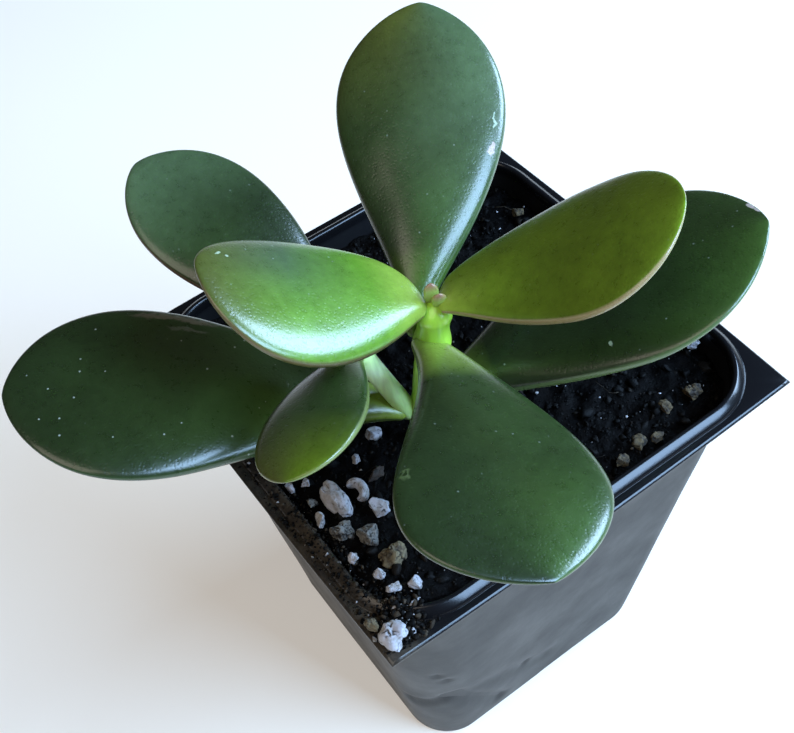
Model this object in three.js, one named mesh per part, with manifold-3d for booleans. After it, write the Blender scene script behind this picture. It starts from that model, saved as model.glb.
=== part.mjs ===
// A young jade plant in a square black nursery pot, 76 mm across the rim.
// Millimetres, +Z up. The origin is the middle of the pot's underside, and the front of the pot faces -Y.
import * as THREE from "three";
import { mergeVertices } from "three/addons/utils/BufferGeometryUtils.js";
import Module from "manifold-3d";

const wasm = await Module();
wasm.setup();

// ---- driving dimensions ----
const gap = 0.3; // left between any two pieces that touch

const pot = {
  height: 75, // underside to the top of the flange
  topHalf: 35.6, // half the outer width of the wall where it meets the flange
  bottomHalf: 26.25, // half the outer width of the wall at the underside
  cornerRadius: 11.4, // of the wall's corners, at the top
  wall: 0.8,
  floor: 1.0,
  flangeHalf: 38, // half the width of the flange, corner to corner along one side
  flangeBow: 0.5, // how far each flange edge swells out between its corners
  flangeThickness: 0.8,
  beadWidth: 2.6, // the rounded roll that stands on the flange, all round the mouth
  beadRise: 1.4,
};

const drain = {
  from: -1, // each side's raised stretch of the underside, measured from the middle of that side
  to: 17,
  reach: 20, // how far it runs in from the wall
  rise: 1.1,
  holeRadius: 3.5,
};

const soil = {
  level: 71.2, // the low, flat part along the right side of the pot
  pile: { x: -36, y: -36, rise: 4.0, spread: 15 }, // heaped in the front left corner
  bank: { x: -34, rise: 1.4, spread: 13, ends: 12 }, // leaning on the left wall, fading out past y = ends
  collar: { x: -12, y: -8, rise: 0.6, spread: 9 }, // drawn up round the stem
  grid: 14, // cells across the surface
};

const stem = {
  root: [-12.6, -7.8, 58], // the buried end
  top: [-7.9, -10.3, 102.6],
  radius: 2.3,
  nodeHeights: [79.3, 94.6, 101.6], // where the three pairs of leaves grow
  nodeSwelling: 0.45,
};

const shoot = { foot: [-12.9, -7.5, 79.8], top: [-18.5, -4.3, 96.2], radius: 1.6 };

// Each leaf: where its stalk starts, the way it heads (degrees from +X, anticlockwise from above), how
// steeply it rises, how much it bends down and sideways over its length, its roll and twist about its
// own line, its size, and its outline: taper of the base, place of the widest part, bluntness of the
// tip, lopsidedness. cup lifts or drops both margins.
const leaves = {
  lower_left_leaf: {
    start: [-12.2, -7.8, 79.4], heading: 152, rise: 26, bend: 14, sweep: 2, roll: 7, twist: -5,
    length: 59.3, width: 29.2, thickness: 4.4, stalk: 2.3,
    taper: 1.19, fullness: 2.3, bluntness: 0.64, lopsided: -0.02, cup: 0,
  },
  lower_right_leaf: {
    start: [-11.7, -8.6, 78.9], heading: -16, rise: 26, bend: -1, sweep: -16, roll: -2, twist: 9,
    length: 57.8, width: 29.4, thickness: 4.4, stalk: 1.9,
    taper: 1.28, fullness: 2.2, bluntness: 0.67, lopsided: -0.02, cup: 0.01,
  },
  front_leaf: {
    start: [-9.5, -8.7, 94.9], heading: -112, rise: 11, bend: -1, sweep: 9, roll: 18, twist: -3,
    length: 48, width: 28.6, thickness: 4.4, stalk: 2.1,
    taper: 1.15, fullness: 3.8, bluntness: 0.8, lopsided: 0.36, cup: 0.07,
  },
  back_leaf: {
    start: [-10.6, -7.7, 94.9], heading: 49, rise: 22, bend: -4, sweep: 3, roll: 1, twist: 1,
    length: 53.3, width: 25.7, thickness: 4.4, stalk: 1.4,
    taper: 1.34, fullness: 1.5, bluntness: 0.71, lopsided: -0.1, cup: -0.06,
  },
  upper_left_leaf: {
    start: [-8.8, -9.3, 101.8], heading: 165, rise: 18, bend: -33, sweep: -5, roll: 4, twist: -4,
    length: 35, width: 22.6, thickness: 4.2, stalk: 1.7,
    taper: 0.73, fullness: 0.7, bluntness: 0.55, lopsided: -0.39, cup: -0.02,
  },
  upper_right_leaf: {
    start: [-7.1, -9.8, 102.4], heading: -47, rise: 24, bend: -22, sweep: 0, roll: -2, twist: -2,
    length: 38, width: 22, thickness: 3.8, stalk: 2.6,
    taper: 0.69, fullness: 2.6, bluntness: 0.55, lopsided: 0.24, cup: 0,
  },
  shoot_back_leaf: {
    start: [-18.4, -4.0, 95.2], heading: 104, rise: 31, bend: 14, sweep: 7, roll: 3, twist: -1,
    length: 41.3, width: 20, thickness: 3.6, stalk: 1.6,
    taper: 1.03, fullness: 1.9, bluntness: 0.65, lopsided: 0.03, cup: 0,
  },
  shoot_front_leaf: {
    start: [-18.4, -4.8, 94.4], heading: -140, rise: 27, bend: 15, sweep: 0, roll: -9, twist: -14,
    length: 30.3, width: 14.6, thickness: 3.4, stalk: 1.5,
    taper: 0.96, fullness: 1.8, bluntness: 0.56, lopsided: -0.07, cup: 0.02,
  },
  bud_leaf_back: {
    start: [-8.0, -9.7, 102.3], heading: 62, rise: 76, bend: -8, sweep: 0, roll: 0, twist: 0,
    length: 3.2, width: 2.1, thickness: 1.1, stalk: 0.8,
    taper: 0.6, fullness: 2, bluntness: 0.7, lopsided: 0, cup: 0.1,
  },
  bud_leaf_front: {
    start: [-7.6, -10.8, 102.3], heading: -118, rise: 74, bend: -8, sweep: 0, roll: 0, twist: 0,
    length: 3.0, width: 2.1, thickness: 1.1, stalk: 0.8,
    taper: 0.6, fullness: 2, bluntness: 0.7, lopsided: 0, cup: 0.1,
  },
};
const leafRings = 14;
const leafSides = 16;

// Perlite and bark on the soil: place on plan, size across, depth and height, and how far the middle
// of the grain stands above the soil under it. One with no stand of its own rests on the surface.
const grains = {
  perlite_large: { at: [-29.0, -11.2], size: [3.8, 5.6, 4.2], stand: 0.8 },
  perlite_curved: { at: [-25.4, -11.6], size: [2.4, 4.4, 2.8], stand: 0.6 },
  perlite_round: { at: [-24.5, -16.2], size: [3.6, 3.3, 3.2], stand: 0.6 },
  perlite_grey_left: { at: [-31.6, -16.4], size: [3.6, 3.6, 3.2], stand: 0.6 },
  perlite_grey_right: { at: [-28.6, -19.5], size: [3.4, 3.6, 3.2], stand: 0.6 },
  perlite_brown: { at: [-28.3, -24.4], size: [4.0, 4.0, 3.6], stand: 0.7 },
  perlite_bank: { at: [-33.3, -22.4], size: [1.8, 1.8, 1.8] },
  perlite_sliver: { at: [-31.9, -26.6], size: [1.6, 2.2, 1.8] },
  perlite_edge_front: { at: [-31.6, -29.8], size: [2.0, 2.0, 2.0] },
  perlite_edge_left: { at: [-33.2, -13.2], size: [2.0, 2.4, 2.0] },
  perlite_left_a: { at: [-33.3, -5.0], size: [1.6, 2.0, 1.6] },
  perlite_left_b: { at: [-31.2, -5.8], size: [1.8, 1.8, 1.6] },
  perlite_left_c: { at: [-32.5, -9.8], size: [2.0, 1.6, 1.6] },
  perlite_stem_a: { at: [-22.6, -7.0], size: [1.6, 1.8, 1.6] },
  perlite_stem_b: { at: [-17.8, -4.6], size: [2.6, 2.4, 2.2] },
  bark_chip: { at: [-21.8, -11.2], size: [3.8, 2.0, 1.4] },
  perlite_front: { at: [-28.8, -31.2], size: [2.4, 2.0, 1.8] },
  perlite_right_corner: { at: [33.1, -22.2], size: [1.8, 2.4, 2.4] },
  grain_right_a: { at: [26.6, -29.0], size: [3.2, 3.0, 2.4] },
  grain_right_b: { at: [21.2, -28.3], size: [2.2, 2.2, 1.8] },
  grain_right_c: { at: [13.3, -31.0], size: [2.4, 2.8, 2.2] },
  grain_right_d: { at: [16.4, -32.0], size: [2.2, 1.6, 1.6] },
  grain_right_e: { at: [9.2, -31.8], size: [2.2, 2.0, 1.8] },
  perlite_back: { at: [31.2, 19.6], size: [2.0, 2.0, 1.8] },
};
// Grains spilled on the rim's front left corner: the middle of each is given outright.
const spilledGrains = {
  perlite_rim_large: { at: [-35.8, -35.4, 77.6], size: [3.6, 4.2, 4.2] },
  perlite_rim_tan: { at: [-37.0, -31.9, 76.4], size: [1.8, 2.0, 1.8] },
};

// ---- colours and finishes ----
const finish = (color, roughness) => new THREE.MeshStandardMaterial({ color, roughness, metalness: 0 });
const blackPlastic = finish(0x1c1c1e, 0.4);
const pottingSoil = finish(0x17130f, 0.95);
const greenStem = finish(0x8dbb2f, 0.4);
const oldLeaf = finish(0x2f5428, 0.35);
const youngLeaf = finish(0x6fa63f, 0.35);
const budLeaf = finish(0x9aa84a, 0.45);
const perliteStone = finish(0xd8d6d0, 0.9);
const barkBrown = finish(0x6f5a45, 0.9);

// ---- helpers ----
const plant = new THREE.Group();

function add(name, geometry, material) {
  const mesh = new THREE.Mesh(geometry, material);
  mesh.name = name;
  plant.add(mesh);
}

function toSolid(geometry) {
  const bare = geometry.clone();
  bare.deleteAttribute("normal");
  bare.deleteAttribute("uv");
  const merged = mergeVertices(bare, 1e-4);
  return new wasm.Manifold(
    new wasm.Mesh({
      numProp: 3,
      vertProperties: merged.attributes.position.array,
      triVerts: new Uint32Array(merged.index.array),
    }),
  );
}

function toGeometry(solid) {
  const mesh = solid.getMesh();
  const geometry = new THREE.BufferGeometry();
  geometry.setAttribute("position", new THREE.BufferAttribute(mesh.vertProperties, 3));
  geometry.setIndex(new THREE.BufferAttribute(mesh.triVerts, 1));
  geometry.computeVertexNormals();
  return geometry;
}

// Moves every vertex of a geometry to where the given function puts it.
function moveVertices(geometry, place) {
  const position = geometry.attributes.position;
  const point = new THREE.Vector3();
  for (let i = 0; i < position.count; i++) {
    point.fromBufferAttribute(position, i);
    place(point);
    position.setXYZ(i, point.x, point.y, point.z);
  }
  return geometry;
}

// ---- pot ----
const taper = (z) =>
  (pot.bottomHalf + ((pot.topHalf - pot.bottomHalf) * z) / pot.height) / pot.topHalf;

function roundedSquare(half, radius, path = new THREE.Shape()) {
  const straight = half - radius;
  path.absarc(straight, straight, radius, 0, Math.PI / 2);
  path.absarc(-straight, straight, radius, Math.PI / 2, Math.PI);
  path.absarc(-straight, -straight, radius, Math.PI, Math.PI * 1.5);
  path.absarc(straight, -straight, radius, Math.PI * 1.5, Math.PI * 2);
  path.closePath();
  return path;
}

// A block with the pot's taper, of the wall's outline drawn in by inset.
function taperedBlock(inset, bottom, top) {
  const outline = roundedSquare(pot.topHalf - inset, pot.cornerRadius - inset);
  const block = new THREE.ExtrudeGeometry(outline, {
    depth: top - bottom,
    bevelEnabled: false,
    curveSegments: 6,
  }).translate(0, 0, bottom);
  return moveVertices(block, (p) => p.set(p.x * taper(p.z), p.y * taper(p.z), p.z));
}

function flangeGeometry() {
  const h = pot.flangeHalf;
  const bow = h + 2 * pot.flangeBow;
  const outline = new THREE.Shape();
  outline.moveTo(h, -h);
  outline.quadraticCurveTo(bow, 0, h, h);
  outline.quadraticCurveTo(0, bow, -h, h);
  outline.quadraticCurveTo(-bow, 0, -h, -h);
  outline.quadraticCurveTo(0, -bow, h, -h);
  outline.holes.push(
    roundedSquare(pot.topHalf - pot.wall, pot.cornerRadius - pot.wall, new THREE.Path()),
  );
  return new THREE.ExtrudeGeometry(outline, {
    depth: pot.flangeThickness,
    bevelEnabled: false,
    curveSegments: 6,
  }).translate(0, 0, pot.height - pot.flangeThickness);
}

function beadGeometry() {
  const round = pot.beadWidth / 2 - 0.2; // all but a narrow flat along the crest is rounded
  const inside = pot.topHalf - pot.wall + round;
  const outside = pot.topHalf - pot.wall + pot.beadWidth - round;
  const outline = roundedSquare(outside, pot.cornerRadius + outside - pot.topHalf);
  outline.holes.push(roundedSquare(inside, pot.cornerRadius + inside - pot.topHalf, new THREE.Path()));
  const straight = 0.3;
  return new THREE.ExtrudeGeometry(outline, {
    depth: straight,
    bevelSize: round,
    bevelThickness: round,
    bevelSegments: 3,
    curveSegments: 6,
  }).translate(0, 0, pot.height + pot.beadRise - straight - round);
}

// The raised stretches of the underside, one a side, grown by margin on every face.
function drainChannels(margin) {
  const width = drain.to - drain.from + 2 * margin;
  const reach = drain.reach + 2 * margin;
  const depth = 2 + drain.rise + margin;
  const channels = [];
  for (let side = 0; side < 4; side++) {
    const channel = new THREE.BoxGeometry(width, reach, depth)
      .translate((drain.from + drain.to) / 2, -pot.bottomHalf - 2 + drain.reach / 2, depth / 2 - 2)
      .rotateZ((side * Math.PI) / 2);
    channels.push(toSolid(channel));
  }
  return channels.reduce((all, one) => all.add(one));
}

function drainHoles() {
  const holes = [];
  for (let side = 0; side < 4; side++) {
    const hole = new THREE.CylinderGeometry(drain.holeRadius, drain.holeRadius, 8, 16)
      .rotateX(Math.PI / 2)
      .translate((drain.from + drain.to) / 2, -pot.bottomHalf + drain.reach / 2 + 2, 1)
      .rotateZ((side * Math.PI) / 2);
    holes.push(toSolid(hole));
  }
  return holes.reduce((all, one) => all.add(one));
}

function potSolid() {
  const cavity = toSolid(taperedBlock(pot.wall, pot.floor, pot.height + 5));
  const hollow = cavity.subtract(drainChannels(pot.floor));
  return toSolid(taperedBlock(0, 0, pot.height))
    .subtract(hollow)
    .subtract(drainChannels(0))
    .subtract(drainHoles())
    .add(toSolid(flangeGeometry()))
    .add(toSolid(beadGeometry()));
}

// ---- soil ----
const bell = (distance, spread) => Math.exp(-(distance * distance) / (2 * spread * spread));

function soilHeight(x, y) {
  const { pile, bank, collar } = soil;
  const heap = pile.rise * bell(Math.hypot(x - pile.x, y - pile.y), pile.spread);
  const lean = (bank.rise * bell(x - bank.x, bank.spread)) / (1 + Math.exp((y - bank.ends) / 6));
  const mound = collar.rise * bell(Math.hypot(x - collar.x, y - collar.y), collar.spread);
  return soil.level + heap + lean + mound;
}

// A square grid point, -1 to 1 each way, moved into a square with round corners of radius share.
function roundCorner(p, share) {
  const u = (Math.abs(p.x) - 1 + share) / share;
  const v = (Math.abs(p.y) - 1 + share) / share;
  if (u <= 0 || v <= 0) return;
  p.x = Math.sign(p.x) * (1 - share + share * u * Math.sqrt(1 - (v * v) / 2));
  p.y = Math.sign(p.y) * (1 - share + share * v * Math.sqrt(1 - (u * u) / 2));
}

function soilBlock() {
  const half = pot.topHalf - pot.wall - gap;
  const share = (pot.cornerRadius - pot.wall) / half;
  const bottom = pot.floor + gap;
  const block = new THREE.BoxGeometry(2, 2, 1, soil.grid, soil.grid, 3);
  return moveVertices(block, (p) => {
    roundCorner(p, share);
    const rough = soilHeight(p.x * half, p.y * half);
    const z = bottom + (p.z + 0.5) * (rough - bottom);
    const width = half * taper(z) - 0.15;
    p.set(p.x * width, p.y * width, z);
  });
}

// ---- stems ----
// A round stem standing at the origin along +Z, swollen at the given heights.
function stemGeometry(length, radius, swellings, swelling, extra = 0) {
  const steps = 22;
  const profile = [new THREE.Vector2(0, -extra)];
  for (let i = 0; i <= steps; i++) {
    const z = (length * i) / steps;
    const bulge = swellings.reduce((sum, at) => sum + swelling * bell(z - at, 1.4), 0);
    const crown = Math.sqrt(Math.max(0.12, Math.min(1, (length - z) / radius)));
    profile.push(new THREE.Vector2((radius + bulge) * crown + extra, z + (i === 0 ? -extra : 0)));
  }
  profile.push(new THREE.Vector2(0, length + 0.3 + extra));
  return new THREE.LatheGeometry(profile, 14).rotateX(Math.PI / 2);
}

// Leans a standing geometry so that its line runs from foot to top.
function leanAlong(geometry, foot, top) {
  const length = top[2] - foot[2];
  return moveVertices(geometry, (p) => {
    const share = p.z / length;
    p.x += foot[0] + share * (top[0] - foot[0]);
    p.y += foot[1] + share * (top[1] - foot[1]);
    p.z += foot[2];
  });
}

function mainStem(extra = 0) {
  const heights = stem.nodeHeights.map((z) => z - stem.root[2]);
  const length = stem.top[2] - stem.root[2];
  const upright = stemGeometry(length, stem.radius, heights, stem.nodeSwelling, extra);
  return toSolid(leanAlong(upright, stem.root, stem.top));
}

function sideShoot(extra = 0) {
  const length = shoot.top[2] - shoot.foot[2];
  const upright = stemGeometry(length, shoot.radius, [length - 1.2], 0.3, extra);
  return toSolid(leanAlong(upright, shoot.foot, shoot.top));
}

// ---- leaves ----
const radians = THREE.MathUtils.degToRad;

// The point of a leaf's middle line at share u of its length, with the leaf's own directions there.
function leafFrame(leaf, u) {
  const steps = 24;
  const point = new THREE.Vector3(...leaf.start);
  const forward = new THREE.Vector3();
  const aim = (share) => {
    const rise = radians(leaf.rise - leaf.bend * share);
    const heading = radians(leaf.heading + leaf.sweep * share);
    const level = Math.cos(rise);
    forward.set(level * Math.cos(heading), level * Math.sin(heading), Math.sin(rise));
    return heading;
  };
  for (let i = 0; i < steps; i++) {
    aim((u * (i + 0.5)) / steps);
    point.addScaledVector(forward, (u * leaf.length) / steps);
  }
  const heading = aim(u);
  const side = new THREE.Vector3(Math.sin(heading), -Math.cos(heading), 0);
  side.applyAxisAngle(forward, -radians(leaf.roll + leaf.twist * u));
  const up = new THREE.Vector3().crossVectors(side, forward);
  return { point, side, up };
}

// Half the leaf's width at share u: a power of u at the base, a rounded end at the tip.
function halfWidth(leaf, u, taperPower) {
  const { fullness, bluntness, width, stalk } = leaf;
  const shape = (s) => s ** taperPower * Math.max(0, 1 - s ** fullness) ** bluntness;
  const widest = (taperPower / (taperPower + fullness * bluntness)) ** (1 / fullness);
  const blade = (width / 2) * (shape(u) / shape(widest));
  const neck = stalk * Math.sqrt(Math.max(0, 1 - 4 * u * u) * Math.min(1, u / 0.03));
  return Math.hypot(blade, neck);
}

// A sphere drawn out along the middle line: its height becomes the way along the leaf, and its
// equator the margin.
function leafGeometry(leaf) {
  const ball = new THREE.SphereGeometry(1, leafSides, leafRings);
  return moveVertices(ball, (p) => {
    const u = THREE.MathUtils.clamp((1 - p.y) / 2, 0, 1);
    const ring = Math.hypot(p.x, p.z) || 1;
    const across = -p.x / ring;
    const lift = p.z / ring;
    const { point, side, up } = leafFrame(leaf, u);
    const lean = across > 0 ? leaf.lopsided : -leaf.lopsided;
    const half = halfWidth(leaf, u, leaf.taper * (1 + lean));
    const body = (leaf.thickness / 2) * Math.sqrt(Math.max(0, Math.sin(Math.PI * u ** 0.8)));
    const thick = Math.min(body, halfWidth(leaf, u, leaf.taper));
    const x = half * across;
    const z = thick * Math.sign(lift) * Math.abs(lift) ** 1.2 + (leaf.cup * x * x) / (leaf.width / 2);
    p.copy(point).addScaledVector(side, x).addScaledVector(up, z);
  });
}

// ---- grains ----
// A lump with knobs and hollows, no two alike.
function grainGeometry(size, seed) {
  const lump = new THREE.IcosahedronGeometry(1, Math.max(...size) > 3.5 ? 2 : 1);
  return moveVertices(lump, (p) => {
    const knobs = 0.1 * Math.sin(3.1 * p.x + 2 * seed) + 0.09 * Math.sin(4.3 * p.y + 5 * seed);
    const hollows = 0.08 * Math.sin(5.7 * p.z + 3 * seed + 2 * p.x);
    p.multiplyScalar(1 + knobs + hollows);
    p.set((p.x * size[0]) / 2, (p.y * size[1]) / 2, (p.z * size[2]) / 2);
  });
}

// ---- assembly ----
const keepOutStems = mainStem(gap).add(sideShoot(gap));
const shootFitted = sideShoot().subtract(mainStem(gap));
add("main_stem", toGeometry(mainStem()), greenStem);
add("side_shoot", toGeometry(shootFitted), greenStem);

// The leaf with all its skin moved out by about the gap.
function swollen(leaf) {
  const { width, thickness, stalk } = leaf;
  const more = { width: width + 2 * gap, thickness: thickness + 3 * gap, stalk: stalk + gap };
  return toSolid(leafGeometry({ ...leaf, ...more }));
}

const keepOutLeaves = swollen(leaves.upper_left_leaf).add(swollen(leaves.upper_right_leaf));
for (const [name, leaf] of Object.entries(leaves)) {
  let fitted = toSolid(leafGeometry(leaf)).subtract(keepOutStems);
  let material = name.startsWith("upper") ? youngLeaf : oldLeaf;
  if (name.startsWith("bud")) {
    fitted = fitted.subtract(keepOutLeaves);
    material = budLeaf;
  }
  add(name, toGeometry(fitted), material);
}

const potBody = potSolid();
add("nursery_pot", toGeometry(potBody), blackPlastic);

let soilBody = toSolid(soilBlock()).subtract(drainChannels(pot.floor + gap)).subtract(mainStem(gap));
Object.entries(grains).forEach(([name, { at, size, stand }], i) => {
  const middle = [...at, soilHeight(...at) + (stand ?? size[2] / 2 + 2 * gap)];
  add(name, grainGeometry(size, i + 1).translate(...middle), name === "bark_chip" ? barkBrown : perliteStone);
  if (stand === undefined) return;
  const socket = grainGeometry(size.map((s) => s + 2.4 * gap), i + 1).translate(...middle);
  soilBody = soilBody.subtract(toSolid(socket));
});
Object.entries(spilledGrains).forEach(([name, { at, size }], i) => {
  add(name, grainGeometry(size, i + 50).translate(...at), perliteStone);
});
add("potting_soil", toGeometry(soilBody), pottingSoil);

export default plant;
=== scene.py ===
import math
import random

import bmesh
import bpy
from mathutils import Matrix, Vector, noise


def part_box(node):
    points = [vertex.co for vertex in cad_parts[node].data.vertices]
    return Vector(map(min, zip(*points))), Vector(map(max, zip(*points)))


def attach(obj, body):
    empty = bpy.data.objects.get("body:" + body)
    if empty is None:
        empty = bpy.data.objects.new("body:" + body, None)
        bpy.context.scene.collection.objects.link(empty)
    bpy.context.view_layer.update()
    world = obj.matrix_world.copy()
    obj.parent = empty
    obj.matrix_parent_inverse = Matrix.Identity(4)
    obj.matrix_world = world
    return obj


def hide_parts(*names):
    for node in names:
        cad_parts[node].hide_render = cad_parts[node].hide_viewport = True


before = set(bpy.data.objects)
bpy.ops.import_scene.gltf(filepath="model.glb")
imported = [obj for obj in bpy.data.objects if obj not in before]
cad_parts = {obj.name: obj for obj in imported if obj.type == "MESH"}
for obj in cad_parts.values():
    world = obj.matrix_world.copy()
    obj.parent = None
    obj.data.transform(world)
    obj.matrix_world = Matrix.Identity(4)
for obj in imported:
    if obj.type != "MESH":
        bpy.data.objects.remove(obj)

scene = bpy.context.scene
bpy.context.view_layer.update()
mm = 0.001  # sizes below are in millimetres
noise.seed_set(5)  # without a seed the vector noise is different at each run

cameraSettings = {
    "place": (-66.9, -99.9, 223.8),
    "azimuth": -29.98,  # degrees round the pot, from its front
    "elevation": 51.36,
    "roll": -7.51,
    "lens": 53.6,
}

studio = {
    "floorColour": "d6cdbf",
    "floorSize": 4000,
    "airColour": "e6e8ea",
    "airStrength": 0.05,
    "floorGlow": 0.3,
    "lamps": {  # name: azimuth from the front, elevation, distance, width, height, watts, colour
        "window": (31, 41, 700, 430, 400, 12.5, "a6cbf6"),
        "sideWindow": (79, 26, 700, 330, 240, 7.0, "b4d6fc"),
        "room": (-75, 55, 900, 700, 700, 3.6, "fff2e2"),
    },
    "aim": (-5, -5, 80),
}


def linear(hexColour):
    values = [int(hexColour[i:i + 2], 16) / 255 for i in (0, 2, 4)]
    return tuple(v / 12.92 if v <= 0.04045 else ((v + 0.055) / 1.055) ** 2.4 for v in values) + (1,)


def fromAround(azimuth, elevation):  # the direction from the object towards a camera or a lamp
    a, e = math.radians(azimuth), math.radians(elevation)
    return Vector((math.sin(a) * math.cos(e), -math.cos(a) * math.cos(e), math.sin(e)))


def addCamera(settings):
    data = bpy.data.cameras.new("camera")
    data.lens = settings["lens"]
    data.clip_start, data.clip_end = 0.01, 20
    camera = bpy.data.objects.new("camera", data)
    scene.collection.objects.link(camera)
    back = fromAround(settings["azimuth"], settings["elevation"])
    right = (-back).cross(Vector((0, 0, 1))).normalized()
    right.rotate(Matrix.Rotation(math.radians(-settings["roll"]), 3, -back))
    turned = Matrix((right, back.cross(right), back)).transposed()
    camera.matrix_world = Matrix.LocRotScale(Vector(settings["place"]) * mm, turned.to_quaternion(), None)
    scene.camera = camera


def addLamps(settings):
    aim = Vector(settings["aim"]) * mm
    for name, (azimuth, elevation, distance, width, height, watts, colour) in settings["lamps"].items():
        data = bpy.data.lights.new(name, "AREA")
        data.shape = "RECTANGLE"
        data.size, data.size_y = width * mm, height * mm
        data.energy = watts
        data.color = linear(colour)[:3]
        lamp = bpy.data.objects.new(name, data)
        scene.collection.objects.link(lamp)
        direction = fromAround(azimuth, elevation)
        lamp.location = aim + direction * distance * mm
        lamp.rotation_mode = "QUATERNION"
        lamp.rotation_quaternion = direction.to_track_quat("Z", "Y")


def addNode(tree, kind, inputs=None, stops=None, **settings):  # one node with its settings and links
    node = tree.nodes.new(kind)
    for key, value in settings.items():
        setattr(node, key, value)
    for key, value in (inputs or {}).items():
        if isinstance(value, bpy.types.NodeSocket):
            tree.links.new(value, node.inputs[key])
        else:
            node.inputs[key].default_value = value
    for i, (position, colour) in enumerate(stops or []):
        points = node.color_ramp.elements
        point = points[i] if i < len(points) else points.new(position)
        point.position, point.color = position, linear(colour)
    return node


def newMaterial(name):
    material = bpy.data.materials.new(name)
    material.use_nodes = True
    material.node_tree.nodes.clear()
    return material, material.node_tree


def addPiece(name, mesh, material, nodes=(), smooth=True):
    data = bpy.data.meshes.new(name)
    mesh.to_mesh(data)
    mesh.free()
    data.materials.append(material)
    data.shade_smooth() if smooth else data.shade_flat()
    piece = bpy.data.objects.new(name, data)
    scene.collection.objects.link(piece)
    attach(piece, "root")
    if nodes:
        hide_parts(*nodes)
    return piece


def addFloor(settings):
    material, tree = newMaterial("paintedFloor")  # matt white paint, which shows only soft shadows
    shader = addNode(tree, "ShaderNodeBsdfPrincipled", {
        "Base Color": linear(settings["floorColour"]), "Roughness": 0.9,
        "Emission Color": (1, 1, 1, 1), "Emission Strength": settings["floorGlow"],
    })
    addNode(tree, "ShaderNodeOutputMaterial", {"Surface": shader.outputs["BSDF"]})
    mesh = bmesh.new()
    bmesh.ops.create_grid(mesh, x_segments=1, y_segments=1, size=settings["floorSize"] / 2 * mm)
    data = bpy.data.meshes.new("floor")
    mesh.to_mesh(data)
    mesh.free()
    data.materials.append(material)
    floor = bpy.data.objects.new("floor", data)
    scene.collection.objects.link(floor)


def addAir(settings):  # dim all round, but white where the camera looks straight at it
    world = bpy.data.worlds.new("air")
    world.use_nodes = True
    tree = world.node_tree
    tree.nodes.clear()
    path = addNode(tree, "ShaderNodeLightPath")
    dim = addNode(tree, "ShaderNodeBackground",
                  {"Color": linear(settings["airColour"]), "Strength": settings["airStrength"]})
    bright = addNode(tree, "ShaderNodeBackground", {"Color": (1, 1, 1, 1), "Strength": 1.0})
    both = addNode(tree, "ShaderNodeMixShader",
                   {0: path.outputs["Is Camera Ray"], 1: dim.outputs[0], 2: bright.outputs[0]})
    addNode(tree, "ShaderNodeOutputWorld", {"Surface": both.outputs[0]})
    scene.world = world


addCamera(cameraSettings)
addLamps(studio)
addFloor(studio)
addAir(studio)
scene.view_settings.view_transform = "Standard"
print("camera, lamps and floor are in place")

# old leaves are dark and bluish, young ones yellow; every blade is palest where it leaves the stem; the cool
# grey-green on the back leaf's right half is a painted sheen
greens = {"foot": "8aa03c", "dark": "202c14", "deep": "2a3a1a", "mid": "385020", "cool": "46583a",
          "fresh": "5c8424", "olive": "526414", "lime": "6a8420", "tip": "4a5020",
          "bud": "8ea34e", "blush": "98705a"}
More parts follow.
